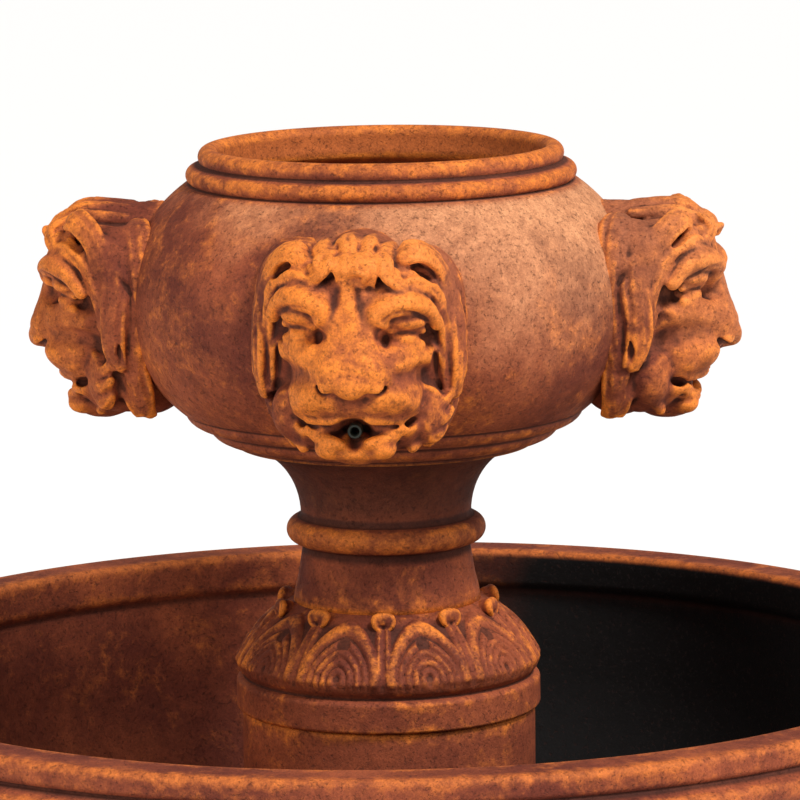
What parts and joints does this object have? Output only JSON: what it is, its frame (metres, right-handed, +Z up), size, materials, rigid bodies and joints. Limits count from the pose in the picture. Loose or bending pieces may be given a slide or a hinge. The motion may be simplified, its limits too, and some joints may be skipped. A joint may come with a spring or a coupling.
{
  "type": "free-standing urn fountain with lion-head spouts and basin",
  "caption": "Footed round urn with lion-head spouts and a leaf-carved foot, on a plain drum in a round moulded basin, in iron-stained cast stone.",
  "frame": {"origin": "on the ground, at the middle of the basin's foot", "axes": "+Z up along the fountain's axis; the front lion head looks along -Y, turned about 5 degrees towards -X"},
  "size_m": [1.216, 1.216, 0.911],
  "materials": {
    "urn_stone": "iron-stained cast stone, matt and finely pitted, rubbed orange on the raised work",
    "basin_stone": "iron-stained cast stone, matt, darker inside",
    "drum_stone": "iron-stained cast stone, matt, with a rubbed orange edge",
    "tubing": "plain grey water tube"
  },
  "bodies": {
    "root": {"basin": "basin_stone", "riser_drum": "drum_stone", "lion_urn": "urn_stone", "spout_tube_front": "tubing", "spout_tube_right": "tubing", "spout_tube_back": "tubing", "spout_tube_left": "tubing"}
  },
  "joints": []
}
